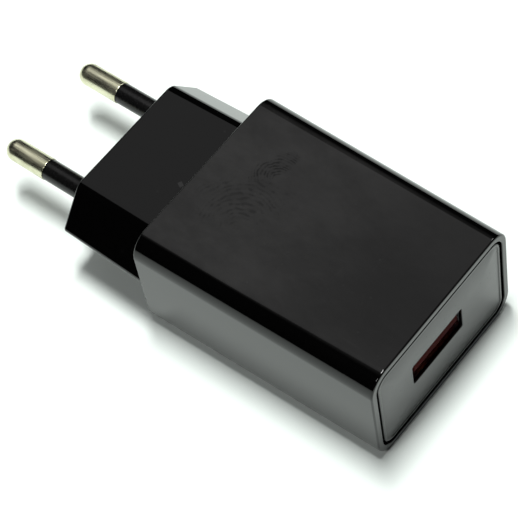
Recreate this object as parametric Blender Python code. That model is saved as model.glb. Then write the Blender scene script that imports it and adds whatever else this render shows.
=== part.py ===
"""USB wall charger with two round mains pins, as an assembly of its separate pieces.

The charger lies on its large flat face. +X runs from the mains pins to the USB port, +Z is up,
and the origin is at the middle of the footprint. The length, from pin tips to port face, is
centred on X = 0, and the body, the plug neck and the pins share one middle plane.
"""

import math

import bmesh
import bpy
from mathutils import Matrix, Vector

MM = 0.001

# Driving dimensions of the outside.
BODY_LENGTH = 46.5 * MM
BODY_BACK_WIDTH = 36.5 * MM
BODY_FRONT_WIDTH = 35.0 * MM
BODY_THICKNESS = 22.6 * MM
BODY_CORNER_RADIUS = 4.0 * MM
EDGE_RADIUS = 0.32 * MM
WALL = 1.8 * MM

NECK_LENGTH = 17.3 * MM
NECK_FACE_WIDTH = 35.0 * MM
NECK_FACE_TOP_WIDTH = 24.0 * MM
NECK_FACE_THICKNESS = 13.7 * MM
NECK_BASE_WIDTH = 36.2 * MM
NECK_BASE_TOP_WIDTH = 24.4 * MM
NECK_BASE_THICKNESS = 14.4 * MM
NECK_TOP_RADIUS = 2.6 * MM
NECK_SIDE_RADIUS = 0.7 * MM
NECK_END_WALL = 2.0 * MM

PIN_LENGTH = 19.0 * MM
PIN_SPACING = 19.0 * MM
PIN_RADIUS = 2.0 * MM
PIN_METAL_LENGTH = 9.0 * MM
PIN_CORE_RADIUS = 1.35 * MM
PIN_TAIL = 8.0 * MM
CARRIER_LENGTH = 5.0 * MM
PIN_SIDES = (("live", -PIN_SPACING / 2), ("neutral", PIN_SPACING / 2))
SLEEVE_RADIUS = 1.9 * MM
SLEEVE_COLLAR_RADIUS = 2.35 * MM
SLEEVE_COLLAR_LENGTH = 1.0 * MM
COLLAR_SEAT_RADIUS = 2.5 * MM
COLLAR_SEAT_DEPTH = 0.4 * MM

# Clearance between neighbouring pieces.
GAP = 0.3 * MM

# The port end: a rim, a narrow gap, and a plate with a bead round a softly pillowed face.
RIM_WIDTH = 1.25 * MM
RIM_DEPTH = 2.8 * MM
PANEL_GAP = 0.5 * MM
PANEL_THICKNESS = 2.2 * MM
BEAD_WIDTH = 0.5 * MM
BEAD_HEIGHT = 0.14 * MM
BEAD_RADIUS = 0.2 * MM
PILLOW_DROP = 0.24 * MM
PILLOW_WIDTH = 4.4 * MM
SKIRT_LENGTH = 3.0 * MM
SKIRT_WALL = 1.2 * MM
PORT_WIDTH = 12.8 * MM
PORT_HEIGHT = 4.9 * MM
PORT_Y = -1.2 * MM
PORT_ABOVE_MIDDLE = 0.9 * MM
PORT_LIP = 0.4 * MM

# Places along X, and heights.
FRONT_X = (BODY_LENGTH + NECK_LENGTH + PIN_LENGTH) / 2
BACK_X = FRONT_X - BODY_LENGTH
NECK_X = BACK_X - NECK_LENGTH
PIN_TIP_X = NECK_X - PIN_LENGTH
MIDDLE_Z = BODY_THICKNESS / 2
PORT_Z = MIDDLE_Z + PORT_ABOVE_MIDDLE
PANEL_X = FRONT_X

# The USB receptacle.
USB_WALL = 0.3 * MM
USB_INNER_WIDTH = 12.5 * MM
USB_INNER_HEIGHT = 5.1 * MM
USB_LENGTH = 14.5 * MM
USB_FRONT_X = PANEL_X - PORT_LIP - GAP
USB_BACK_X = USB_FRONT_X - USB_LENGTH
TONGUE_SETBACK = 0.45 * MM
TONGUE_WIDTH = 11.4 * MM
TONGUE_THICKNESS = 1.9 * MM
TONGUE_BOTTOM = PORT_Z - 0.4 * MM
TONGUE_BLOCK_LENGTH = 3.4 * MM
CONTACT_OFFSETS = (-3.5 * MM, -1.0 * MM, 1.0 * MM, 3.5 * MM)
CONTACT_WIDTH = 1.0 * MM
CONTACT_METAL = 0.25 * MM
SLOT_WIDTH = 1.6 * MM
SLOT_DEPTH = 1.05 * MM

# The circuit board, under the receptacle.
BOARD_THICKNESS = 1.2 * MM
BOARD_TOP = PORT_Z - USB_INNER_HEIGHT / 2 - USB_WALL - GAP
BOARD_BOTTOM = BOARD_TOP - BOARD_THICKNESS
BOARD_WIDTH = 30.0 * MM
BOARD_BACK_X = BACK_X + 2.2 * MM
BOARD_FRONT_X = PANEL_X - PANEL_THICKNESS - GAP
PART_Z = BOARD_TOP + GAP

ARC_STEPS = 7
ROUND_STEPS = 28

PALETTE = {
    "shell_black": ((0.012, 0.012, 0.013), 0.08, 0.0),
    "panel_black": ((0.016, 0.017, 0.017), 0.3, 0.0),
    "pin_metal": ((0.72, 0.70, 0.64), 0.22, 1.0),
    "sleeve_black": ((0.014, 0.014, 0.015), 0.2, 0.0),
    "carrier_plastic": ((0.08, 0.08, 0.085), 0.5, 0.0),
    "lead_insulation": ((0.35, 0.02, 0.02), 0.45, 0.0),
    "board_green": ((0.02, 0.14, 0.06), 0.45, 0.0),
    "ferrite": ((0.05, 0.05, 0.055), 0.6, 0.0),
    "bobbin_plastic": ((0.03, 0.03, 0.03), 0.5, 0.0),
    "winding_tape": ((0.85, 0.62, 0.08), 0.4, 0.0),
    "capacitor_sleeve": ((0.02, 0.05, 0.16), 0.35, 0.0),
    "disc_blue": ((0.05, 0.2, 0.5), 0.5, 0.0),
    "resistor_body": ((0.25, 0.5, 0.55), 0.5, 0.0),
    "chip_black": ((0.02, 0.02, 0.02), 0.55, 0.0),
    "usb_steel": ((0.62, 0.62, 0.63), 0.3, 1.0),
    "usb_orange": ((0.62, 0.14, 0.02), 0.4, 0.0),
    "contact_gold": ((0.85, 0.62, 0.3), 0.25, 1.0),
    "insulation_film": ((0.85, 0.8, 0.65), 0.4, 0.0),
}


def clear_scene():
    """Remove every object of the scene the file opens with."""
    for obj in list(bpy.data.objects):
        bpy.data.objects.remove(obj, do_unlink=True)


def material(name):
    """The Principled material of that name in PALETTE, made once."""
    found = bpy.data.materials.get(name)
    if found:
        return found
    colour, roughness, metallic = PALETTE[name]
    made = bpy.data.materials.new(name)
    made.use_nodes = True
    shader = made.node_tree.nodes["Principled BSDF"]
    shader.inputs["Base Color"].default_value = (*colour, 1.0)
    shader.inputs["Roughness"].default_value = roughness
    shader.inputs["Metallic"].default_value = metallic
    return made


def add_object(name, bm, finish, smooth_degrees=35):
    """Put a bmesh in the scene as an object with the given finish, and shade its round faces smooth."""
    bmesh.ops.recalc_face_normals(bm, faces=bm.faces)
    mesh = bpy.data.meshes.new(name)
    bm.to_mesh(mesh)
    bm.free()
    mesh.shade_smooth()
    mesh.set_sharp_from_angle(angle=math.radians(smooth_degrees))
    mesh.materials.append(material(finish))
    obj = bpy.data.objects.new(name, mesh)
    bpy.context.scene.collection.objects.link(obj)
    return obj


def combine(target, other, operation):
    """Cut the other object from the target, or join it on, and keep the other as a hidden guide."""
    other.hide_render = True
    other.display_type = "WIRE"
    step = target.modifiers.new(f"{operation.lower()}_{other.name}", "BOOLEAN")
    step.operation = operation
    step.solver = "EXACT"
    step.object = other


def blend(start, end, share):
    return start + (end - start) * share


def rounded_polygon(corners, radii):
    """Points of a convex outline whose corners are arcs. Corners run anticlockwise."""
    points = []
    count = len(corners)
    for index, corner in enumerate(corners):
        here = Vector(corner)
        before = (Vector(corners[index - 1]) - here).normalized()
        after = (Vector(corners[(index + 1) % count]) - here).normalized()
        half = before.angle(after) / 2
        radius = radii[index]
        centre = here + (before + after).normalized() * (radius / math.sin(half))
        first = here + before * (radius / math.tan(half)) - centre
        last = here + after * (radius / math.tan(half)) - centre
        start = math.atan2(first.y, first.x)
        sweep = (math.atan2(last.y, last.x) - start) % math.tau
        for step in range(ARC_STEPS):
            angle = start + sweep * step / (ARC_STEPS - 1)
            points.append((centre.x + radius * math.cos(angle), centre.y + radius * math.sin(angle)))
    return points


def rounded_rectangle(width, height, radius, centre=(0.0, 0.0)):
    """Outline of a rectangle with round corners, in Y and Z."""
    y, z = centre
    corners = [
        (y - width / 2, z - height / 2),
        (y + width / 2, z - height / 2),
        (y + width / 2, z + height / 2),
        (y - width / 2, z + height / 2),
    ]
    return rounded_polygon(corners, [radius] * 4)


def body_outline(x, inset):
    """Section of the body at x, drawn in by inset. The body narrows from its back to its port end."""
    share = (x - BACK_X) / BODY_LENGTH
    width = blend(BODY_BACK_WIDTH, BODY_FRONT_WIDTH, share) - 2 * inset
    radius = max(BODY_CORNER_RADIUS - inset, 0.6 * MM)
    return rounded_rectangle(width, BODY_THICKNESS - 2 * inset, radius, (0.0, MIDDLE_Z))


def neck_outline(x, inset):
    """Six-sided section of the plug neck at x, drawn in by inset."""
    share = (x - NECK_X) / NECK_LENGTH
    side = blend(NECK_FACE_WIDTH, NECK_BASE_WIDTH, share) / 2
    top = blend(NECK_FACE_TOP_WIDTH, NECK_BASE_TOP_WIDTH, share) / 2
    height = blend(NECK_FACE_THICKNESS, NECK_BASE_THICKNESS, share) / 2
    run = math.hypot(side - top, height)
    shift = inset * run / height
    low_side = side - shift
    low_top = top + (side - top) * inset / height - shift
    low_height = height - inset
    corners = [
        (-low_top, MIDDLE_Z - low_height),
        (low_top, MIDDLE_Z - low_height),
        (low_side, MIDDLE_Z),
        (low_top, MIDDLE_Z + low_height),
        (-low_top, MIDDLE_Z + low_height),
        (-low_side, MIDDLE_Z),
    ]
    flat = max(NECK_TOP_RADIUS - inset / 2, 0.4 * MM)
    point = max(NECK_SIDE_RADIUS - inset / 2, 0.3 * MM)
    return rounded_polygon(corners, [flat, flat, point, flat, flat, point])


def loft(bm, rings):
    """Join rings of equal length into one closed body with flat ends."""
    loops = [[bm.verts.new(point) for point in ring] for ring in rings]
    count = len(loops[0])
    for low, high in zip(loops, loops[1:]):
        for index in range(count):
            after = (index + 1) % count
            bm.faces.new((low[index], low[after], high[after], high[index]))
    bm.faces.new(loops[0])
    bm.faces.new(loops[-1])


def rounded_ends(start, end, start_radius, end_radius, steps=4):
    """(x, inset) pairs from start to end, with a quarter-round at each end that has a radius."""
    pairs = []
    for step in range(steps + 1 if start_radius else 1):
        angle = math.pi / 2 * step / steps
        pairs.append((start + start_radius * (1 - math.cos(angle)), start_radius * (1 - math.sin(angle))))
    for step in range(steps + 1 if end_radius else 1):
        angle = math.pi / 2 * (1 - step / steps)
        pairs.append((end - end_radius * (1 - math.cos(angle)), end_radius * (1 - math.sin(angle))))
    return pairs


def lofted(name, outline, start, end, finish, start_radius=0.0, end_radius=0.0):
    """A closed body along X whose section is outline(x, inset)."""
    bm = bmesh.new()
    rings = []
    for x, inset in rounded_ends(start, end, start_radius, end_radius):
        rings.append([(x, y, z) for y, z in outline(x, inset)])
    loft(bm, rings)
    return add_object(name, bm, finish)


def box(name, low, high, finish, bevel=0.0):
    """A box between two corners, with its edges rounded if bevel is given."""
    bm = bmesh.new()
    bmesh.ops.create_cube(bm, size=1.0)
    size = Vector(high) - Vector(low)
    centre = (Vector(high) + Vector(low)) / 2
    bmesh.ops.transform(bm, matrix=Matrix.Translation(centre) @ Matrix.Diagonal((*size, 1.0)), verts=bm.verts)
    if bevel:
        bmesh.ops.bevel(bm, geom=bm.edges[:], offset=bevel, segments=2, affect="EDGES", profile=0.5)
    return add_object(name, bm, finish)


def placed(name, centre, size, finish, bevel=0.0):
    """A box given by its centre and size."""
    half = Vector(size) / 2
    return box(name, Vector(centre) - half, Vector(centre) + half, finish, bevel)


def turned(name, profile, place, direction, finish, steps=ROUND_STEPS):
    """A solid turned round an axis through place. The profile is (distance along it, radius) pairs."""
    bm = bmesh.new()
    turn = Vector((1, 0, 0)).rotation_difference(Vector(direction)).to_matrix()
    rings = []
    for along, radius in profile:
        ring = []
        for step in range(steps):
            angle = math.tau * step / steps
            local = Vector((along, radius * math.cos(angle), radius * math.sin(angle)))
            ring.append(bm.verts.new(turn @ local + Vector(place)))
        rings.append(ring)
    for low, high in zip(rings, rings[1:]):
        for step in range(steps):
            after = (step + 1) % steps
            bm.faces.new((low[step], low[after], high[after], high[step]))
    if profile[0] != profile[-1]:
        bm.faces.new(rings[0])
        bm.faces.new(rings[-1])
    bmesh.ops.remove_doubles(bm, verts=bm.verts, dist=0.000001)
    return add_object(name, bm, finish)


def tube(name, path, radius, finish):
    """A round wire along a path, as a curve with closed ends."""
    curve = bpy.data.curves.new(name, "CURVE")
    curve.dimensions = "3D"
    curve.bevel_depth = radius
    curve.bevel_resolution = 2
    curve.use_fill_caps = True
    spline = curve.splines.new("POLY")
    spline.points.add(len(path) - 1)
    for point, place in zip(spline.points, path):
        point.co = (*place, 1.0)
    curve.materials.append(material(finish))
    obj = bpy.data.objects.new(name, curve)
    bpy.context.scene.collection.objects.link(obj)
    return obj


def strip(name, line, thickness, middle_y, width, finish):
    """A metal strip whose side view is a line of (x, z) points given a thickness downwards."""
    bm = bmesh.new()
    outline = list(line) + [(x, z - thickness) for x, z in reversed(line)]
    near = [bm.verts.new((x, middle_y - width / 2, z)) for x, z in outline]
    far = [bm.verts.new((x, middle_y + width / 2, z)) for x, z in outline]
    bm.faces.new(near)
    bm.faces.new(far)
    for index in range(len(outline)):
        after = (index + 1) % len(outline)
        bm.faces.new((near[index], near[after], far[after], far[index]))
    return add_object(name, bm, finish)


def housing():
    """The moulded case: body and plug neck in one piece, open at the port end."""
    case = lofted("housing", body_outline, BACK_X, FRONT_X, "shell_black", EDGE_RADIUS, EDGE_RADIUS)
    neck = lofted("neck_block", neck_outline, NECK_X, BACK_X + 1.0 * MM, "shell_black", EDGE_RADIUS)
    combine(case, neck, "UNION")

    def cavity(x, inset):
        return body_outline(x, WALL)

    def neck_cavity(x, inset):
        return neck_outline(x, WALL)

    def recess(x, inset):
        return body_outline(FRONT_X, RIM_WIDTH)

    room = lofted("body_cavity", cavity, BACK_X + WALL, FRONT_X + 1.0 * MM, "shell_black")
    combine(case, room, "DIFFERENCE")
    duct = lofted("neck_cavity", neck_cavity, NECK_X + NECK_END_WALL, BACK_X + WALL + 1.0 * MM, "shell_black")
    combine(case, duct, "DIFFERENCE")
    seat = lofted("panel_recess", recess, FRONT_X - RIM_DEPTH, FRONT_X + 1.0 * MM, "shell_black")
    combine(case, seat, "DIFFERENCE")
    hole_profile = [
        (-1.0 * MM, COLLAR_SEAT_RADIUS),
        (COLLAR_SEAT_DEPTH, COLLAR_SEAT_RADIUS),
        (COLLAR_SEAT_DEPTH, PIN_CORE_RADIUS + GAP),
        (NECK_END_WALL + 1.0 * MM, PIN_CORE_RADIUS + GAP),
    ]
    for side, y in PIN_SIDES:
        hole = turned(f"{side}_hole", hole_profile, (NECK_X, y, MIDDLE_Z), (1, 0, 0), "shell_black")
        combine(case, hole, "DIFFERENCE")
    board_rails(case)


def board_rails(case):
    """Two ledges inside the case that carry the circuit board."""
    low = BOARD_BOTTOM - GAP - 1.0 * MM
    high = BOARD_BOTTOM - GAP
    for side, sign in (("near", -1), ("far", 1)):
        inner = sign * (BOARD_WIDTH / 2 - 0.9 * MM)
        outer = sign * (BODY_FRONT_WIDTH / 2 - 1.0 * MM)
        rail = box(
            f"{side}_rail",
            (BACK_X + 1.0 * MM, min(inner, outer), low),
            (FRONT_X - 8.0 * MM, max(inner, outer), high),
            "shell_black",
        )
        combine(case, rail, "UNION")


def plate_stations(back):
    """(x, inset) pairs of the end plate, from its back, round its bead, to its flat middle."""
    low = PANEL_X - PILLOW_DROP
    top = low + BEAD_HEIGHT
    edge = 0.1 * MM
    pairs = [(back, 0.0)]
    for step in range(4):
        angle = math.pi / 2 * step / 3
        pairs.append((top - BEAD_RADIUS * (1 - math.sin(angle)), BEAD_RADIUS * (1 - math.cos(angle))))
    pairs += [(top, BEAD_WIDTH - edge), (low, BEAD_WIDTH + edge)]
    steps = 5
    for step in range(1, steps + 1):
        share = step / steps
        pairs.append((PANEL_X - PILLOW_DROP * (1 - share) ** 2, BEAD_WIDTH + edge + PILLOW_WIDTH * share))
    return pairs


def port_panel():
    """The end plate: a beaded, softly pillowed plate with a skirt behind it and the port's opening."""

    def skirt_outline(x, inset):
        return body_outline(FRONT_X, WALL + GAP)

    def skirt_room(x, inset):
        return body_outline(FRONT_X, WALL + GAP + SKIRT_WALL)

    back = PANEL_X - PANEL_THICKNESS
    bm = bmesh.new()
    rings = []
    for x, inset in plate_stations(back):
        outline = body_outline(FRONT_X, RIM_WIDTH + PANEL_GAP + inset)
        rings.append([(x, y, z) for y, z in outline])
    loft(bm, rings)
    panel = add_object("port_panel", bm, "panel_black")
    skirt = lofted("panel_skirt", skirt_outline, back - SKIRT_LENGTH, back + 0.5 * MM, "panel_black")
    combine(panel, skirt, "UNION")
    room = lofted("skirt_room", skirt_room, back - SKIRT_LENGTH - 1.0 * MM, back, "panel_black")
    combine(panel, room, "DIFFERENCE")

    def opening(x, inset):
        return rounded_rectangle(PORT_WIDTH, PORT_HEIGHT, 0.3 * MM, (PORT_Y, PORT_Z))

    def pocket(x, inset):
        width = USB_INNER_WIDTH + 2 * (USB_WALL + GAP)
        height = USB_INNER_HEIGHT + 2 * (USB_WALL + GAP)
        return rounded_rectangle(width, height, 0.6 * MM, (PORT_Y, PORT_Z))

    mouth = lofted("port_mouth", opening, back - 1.0 * MM, PANEL_X + 1.0 * MM, "panel_black")
    combine(panel, mouth, "DIFFERENCE")
    behind = lofted("port_pocket", pocket, back - 1.0 * MM, PANEL_X - PORT_LIP, "panel_black")
    combine(panel, behind, "DIFFERENCE")


def mains_pins():
    """Two turned pins with their insulating sleeves, and the block that holds them."""
    tip = [(PIN_RADIUS * (1 - math.cos(a)), max(PIN_RADIUS * math.sin(a), 0.05 * MM))
           for a in (math.pi / 2 * i / 7 for i in range(8))]
    end = PIN_LENGTH + NECK_END_WALL + PIN_TAIL
    pin_profile = tip + [
        (PIN_METAL_LENGTH - 0.15 * MM, PIN_RADIUS),
        (PIN_METAL_LENGTH, PIN_RADIUS - 0.15 * MM),
        (PIN_METAL_LENGTH, PIN_CORE_RADIUS),
        (end - 0.3 * MM, PIN_CORE_RADIUS),
        (end, PIN_CORE_RADIUS - 0.3 * MM),
    ]
    bore = PIN_CORE_RADIUS + 0.15 * MM
    first = PIN_METAL_LENGTH + 0.12 * MM
    last = PIN_LENGTH + COLLAR_SEAT_DEPTH - 0.12 * MM
    sleeve_profile = [
        (first, bore),
        (first, SLEEVE_RADIUS - 0.1 * MM),
        (first + 0.1 * MM, SLEEVE_RADIUS),
        (last - SLEEVE_COLLAR_LENGTH - 0.5 * MM, SLEEVE_RADIUS),
        (last - SLEEVE_COLLAR_LENGTH, SLEEVE_COLLAR_RADIUS),
        (last, SLEEVE_COLLAR_RADIUS),
        (last, bore),
        (first, bore),
    ]
    for side, y in PIN_SIDES:
        place = (PIN_TIP_X, y, MIDDLE_Z)
        turned(f"pin_{side}", pin_profile, place, (1, 0, 0), "pin_metal")
        turned(f"pin_sleeve_{side}", sleeve_profile, place, (1, 0, 0), "sleeve_black")
    pin_carrier()


def pin_carrier():
    """The insulating block that fills the neck behind its end wall, with a hole for each pin."""

    def carrier_outline(x, inset):
        return neck_outline(x, WALL + GAP + inset)

    low_x = NECK_X + NECK_END_WALL + GAP
    block = lofted("pin_carrier", carrier_outline, low_x, low_x + CARRIER_LENGTH, "carrier_plastic")
    for side, y in PIN_SIDES:
        radius = PIN_CORE_RADIUS + GAP
        profile = [(-1.0 * MM, radius), (CARRIER_LENGTH + 1.0 * MM, radius)]
        hole = turned(f"{side}_carrier_hole", profile, (low_x, y, MIDDLE_Z), (1, 0, 0), "carrier_plastic")
        combine(block, hole, "DIFFERENCE")


def mains_leads():
    """Two short insulated wires from the pins' tails to the back of the circuit board."""
    pin_end = PIN_TIP_X + PIN_LENGTH + NECK_END_WALL + PIN_TAIL + GAP
    radius = 0.75 * MM
    for side, sign in (("live", -1), ("neutral", 1)):
        start = Vector((pin_end, sign * PIN_SPACING / 2, MIDDLE_Z))
        end = Vector((BOARD_BACK_X + 2.2 * MM, sign * 11.5 * MM, PART_Z + radius))
        points = []
        for step in range(13):
            share = step / 12
            ease = share * share * (3 - 2 * share)
            rise = 1.6 * MM * math.sin(math.pi * share)
            points.append((
                blend(start.x, end.x, share),
                blend(start.y, end.y, ease),
                blend(start.z, end.z, ease) + rise,
            ))
        tube(f"lead_{side}", points, radius, "lead_insulation")


def circuit_board():
    """The one board, stepped in at its front where it enters the end plate's skirt."""
    half = BOARD_WIDTH / 2
    nose = BODY_FRONT_WIDTH / 2 - WALL - SKIRT_WALL - 3 * GAP
    step_x = PANEL_X - PANEL_THICKNESS - SKIRT_LENGTH - GAP
    corners = [
        (BOARD_BACK_X, -half), (step_x, -half), (step_x, -nose), (BOARD_FRONT_X, -nose),
        (BOARD_FRONT_X, nose), (step_x, nose), (step_x, half), (BOARD_BACK_X, half),
    ]
    bm = bmesh.new()
    low = [bm.verts.new((x, y, BOARD_BOTTOM)) for x, y in corners]
    high = [bm.verts.new((x, y, BOARD_TOP)) for x, y in corners]
    bm.faces.new(low)
    bm.faces.new(high)
    for index in range(len(corners)):
        after = (index + 1) % len(corners)
        bm.faces.new((low[index], low[after], high[after], high[index]))
    add_object("circuit_board", bm, "board_green")


def ring_body(name, centre, outer, inner, length, finish, radius=0.6 * MM):
    """A rectangular tube along X: outer and inner are (width, height)."""
    x, y, z = centre
    bm = bmesh.new()
    wide = rounded_rectangle(*outer, radius, (y, z))
    narrow = rounded_rectangle(*inner, radius * 0.5, (y, z))
    low_x = x - length / 2
    high_x = x + length / 2
    loops = [
        [bm.verts.new((at, py, pz)) for py, pz in outline]
        for at, outline in ((low_x, wide), (high_x, wide), (high_x, narrow), (low_x, narrow))
    ]
    count = len(wide)
    for turn in range(4):
        first = loops[turn]
        second = loops[(turn + 1) % 4]
        for index in range(count):
            after = (index + 1) % count
            bm.faces.new((first[index], first[after], second[after], second[index]))
    return add_object(name, bm, finish)


def transformer():
    """The switching transformer: ferrite core, bobbin and taped winding round its middle leg."""
    x, y = 16.0 * MM, 5.2 * MM
    leg = 4.4 * MM
    core_height = 4.8 * MM
    flange_height = 10.8 * MM
    z = PART_Z + flange_height / 2
    length, width, yoke = 14.0 * MM, 16.5 * MM, 2.4 * MM
    core = placed("transformer_core", (x, y, z), (length, width, core_height), "ferrite")
    window_width = (width - leg) / 2 - yoke
    for side, sign in (("near", -1), ("far", 1)):
        middle = y + sign * (leg + window_width) / 2
        size = (length - 2 * yoke, window_width, core_height + 2 * MM)
        combine(core, placed(f"{side}_window", (x, middle, z), size, "ferrite"), "DIFFERENCE")
    hole = (leg + 2 * GAP, core_height + 2 * GAP)
    barrel = (hole[0] + 1.0 * MM, hole[1] + 1.0 * MM)
    flange = (leg + 2 * window_width - 2 * GAP, flange_height)
    bobbin_length = length - 2 * yoke - 2 * GAP
    bobbin = ring_body("transformer_bobbin", (x, y, z), barrel, hole, bobbin_length, "bobbin_plastic")
    thick = 0.6 * MM
    cheek_hole = (hole[0] + 0.4 * MM, hole[1] + 0.4 * MM)
    for side, sign in (("back", -1), ("front", 1)):
        at = (x + sign * (bobbin_length - thick) / 2, y, z)
        cheek = ring_body(f"{side}_cheek", at, flange, cheek_hole, thick, "bobbin_plastic")
        combine(bobbin, cheek, "UNION")
    inner = (barrel[0] + 2 * GAP, barrel[1] + 2 * GAP)
    outer = (flange[0] - 0.4 * MM, flange_height - 0.8 * MM)
    winding_length = bobbin_length - 2 * thick - 2 * GAP
    ring_body("transformer_winding", (x, y, z), outer, inner, winding_length, "winding_tape", 2.0 * MM)


def capacitor(name, start, direction, length, radius):
    """A lying electrolytic capacitor: can, crimped groove at its lead end, and rounded far end."""
    groove = 1.6 * MM
    profile = [
        (0.0, radius - 0.5 * MM),
        (0.0, radius - 0.1 * MM),
        (0.2 * MM, radius),
        (groove - 0.4 * MM, radius),
        (groove, radius - 0.35 * MM),
        (groove + 0.4 * MM, radius),
        (length - 0.4 * MM, radius),
        (length, radius - 0.4 * MM),
    ]
    turned(name, profile, start, direction, "capacitor_sleeve", 24)


def through_hole_parts():
    """The taller parts on top of the board."""
    for name, x, y, direction, length, radius in (
        ("primary_capacitor_1", 3.2 * MM, -9.8 * MM, (1, 0, 0), 14.0 * MM, 4.5 * MM),
        ("primary_capacitor_2", 3.9 * MM, 1.2 * MM, (0, 1, 0), 11.0 * MM, 4.0 * MM),
        ("output_capacitor", 25.2 * MM, 10.4 * MM, (1, 0, 0), 10.6 * MM, 4.0 * MM),
    ):
        capacitor(name, (x, y, PART_Z + radius), direction, length, radius)
    disc = [(0.0, 2.6 * MM), (0.9 * MM, 3.4 * MM), (2.5 * MM, 3.4 * MM), (3.4 * MM, 2.6 * MM)]
    turned("safety_capacitor", disc, (18.6 * MM, -9.4 * MM, PART_Z + 3.5 * MM), (1, 0, 0), "disc_blue", 24)
    body = [
        (0.0, 1.1 * MM), (0.4 * MM, 1.6 * MM), (1.8 * MM, 1.6 * MM), (2.3 * MM, 1.3 * MM),
        (6.7 * MM, 1.3 * MM), (7.2 * MM, 1.6 * MM), (8.6 * MM, 1.6 * MM), (9.0 * MM, 1.1 * MM),
    ]
    turned("fusible_resistor", body, (0.6 * MM, -9.6 * MM, PART_Z + 1.7 * MM), (0, 1, 0), "resistor_body", 16)
    spool = [
        (0.0, 2.4 * MM), (0.8 * MM, 2.4 * MM), (1.0 * MM, 1.8 * MM),
        (4.6 * MM, 1.8 * MM), (4.8 * MM, 2.4 * MM), (5.6 * MM, 2.4 * MM),
    ]
    turned("input_choke", spool, (25.4 * MM, -11.8 * MM, PART_Z), (0, 0, 1), "ferrite", 20)
    place = (32.0 * MM, -11.6 * MM, PART_Z + 1.7 * MM)
    placed("optocoupler", place, (6.4 * MM, 4.4 * MM, 3.2 * MM), "chip_black", 0.3 * MM)


def chip(name, centre, size, legs, leg_pitch):
    """A surface-mounted package under the board, with a row of feet along both long sides."""
    x, y, z = centre
    length, width, height = size
    package = placed(name, centre, size, "chip_black", 0.2 * MM)
    for side, sign in (("near", -1), ("far", 1)):
        for index in range(legs):
            at = (x + (index - (legs - 1) / 2) * leg_pitch, y + sign * (width / 2 + 0.3 * MM), z + height / 4)
            foot = placed(f"{name}_{side}_foot_{index}", at, (0.42 * MM, 1.2 * MM, height / 2), "chip_black")
            combine(package, foot, "UNION")


def board_underside():
    """The flat parts under the board."""
    top = BOARD_BOTTOM - GAP
    for name, x, y, size, legs, leg_pitch in (
        ("bridge_rectifier", 4.5 * MM, -6.0 * MM, (4.7 * MM, 3.9 * MM, 2.4 * MM), 2, 2.5 * MM),
        ("controller_chip", 13.5 * MM, -4.0 * MM, (4.9 * MM, 3.9 * MM, 1.6 * MM), 4, 1.27 * MM),
        ("output_rectifier", 24.5 * MM, 5.0 * MM, (6.6 * MM, 5.2 * MM, 2.0 * MM), 2, 3.0 * MM),
    ):
        chip(name, (x, y, top - size[2] / 2), size, legs, leg_pitch)
    box(
        "insulation_sheet",
        (BACK_X + WALL + 2.0 * MM, -11.5 * MM, WALL + GAP),
        (FRONT_X - 9.0 * MM, 11.5 * MM, WALL + GAP + 0.4 * MM),
        "insulation_film",
    )


def usb_receptacle():
    """Steel shell, orange tongue with its rear block, and four sprung contacts with their tails."""
    middle = (USB_FRONT_X - USB_LENGTH / 2, PORT_Y, PORT_Z)
    outer = (USB_INNER_WIDTH + 2 * USB_WALL, USB_INNER_HEIGHT + 2 * USB_WALL)
    inner = (USB_INNER_WIDTH, USB_INNER_HEIGHT)
    ring_body("usb_shell", middle, outer, inner, USB_LENGTH, "usb_steel", 0.5 * MM)
    tongue = box(
        "usb_tongue",
        (USB_BACK_X + 1.0 * MM, PORT_Y - TONGUE_WIDTH / 2, TONGUE_BOTTOM),
        (PANEL_X - TONGUE_SETBACK, PORT_Y + TONGUE_WIDTH / 2, TONGUE_BOTTOM + TONGUE_THICKNESS),
        "usb_orange",
        0.15 * MM,
    )
    half_width = USB_INNER_WIDTH / 2 - GAP
    half_height = USB_INNER_HEIGHT / 2 - GAP
    block = box(
        "tongue_block",
        (USB_BACK_X, PORT_Y - half_width, PORT_Z - half_height),
        (USB_BACK_X + TONGUE_BLOCK_LENGTH, PORT_Y + half_width, PORT_Z + half_height),
        "usb_orange",
    )
    combine(tongue, block, "UNION")
    for index, offset in enumerate(CONTACT_OFFSETS, start=1):
        y = PORT_Y + offset
        slot = box(
            f"contact_slot_{index}",
            (USB_BACK_X - 1.0 * MM, y - SLOT_WIDTH / 2, TONGUE_BOTTOM - 0.3 * MM),
            (PANEL_X - TONGUE_SETBACK - 1.2 * MM, y + SLOT_WIDTH / 2, TONGUE_BOTTOM + SLOT_DEPTH),
            "usb_orange",
        )
        combine(tongue, slot, "DIFFERENCE")
        usb_contact(index, y)


def usb_contact(index, y):
    """One contact: a leaf that flexes up into the tongue when a plug enters, and its fixed tail."""
    leaf_top = TONGUE_BOTTOM + 0.42 * MM
    root = USB_BACK_X + TONGUE_BLOCK_LENGTH + 0.6 * MM
    tip = PANEL_X - TONGUE_SETBACK - 1.9 * MM
    dip = 0.75 * MM
    leaf = [
        (root, leaf_top),
        (tip - 3.2 * MM, leaf_top),
        (tip - 1.7 * MM, leaf_top - dip),
        (tip - 1.2 * MM, leaf_top - dip),
        (tip, leaf_top - 0.1 * MM),
    ]
    strip(f"usb_contact_{index}", leaf, CONTACT_METAL, y, CONTACT_WIDTH, "contact_gold")
    tail_x = USB_BACK_X - 0.9 * MM
    tail = strip(
        f"usb_contact_tail_{index}",
        [(tail_x, leaf_top), (root - GAP, leaf_top)],
        CONTACT_METAL, y, CONTACT_WIDTH, "contact_gold",
    )
    leg = box(
        f"tail_leg_{index}",
        (tail_x, y - 0.35 * MM, PART_Z),
        (tail_x + CONTACT_METAL, y + 0.35 * MM, leaf_top - CONTACT_METAL / 2),
        "contact_gold",
    )
    combine(tail, leg, "UNION")


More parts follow.
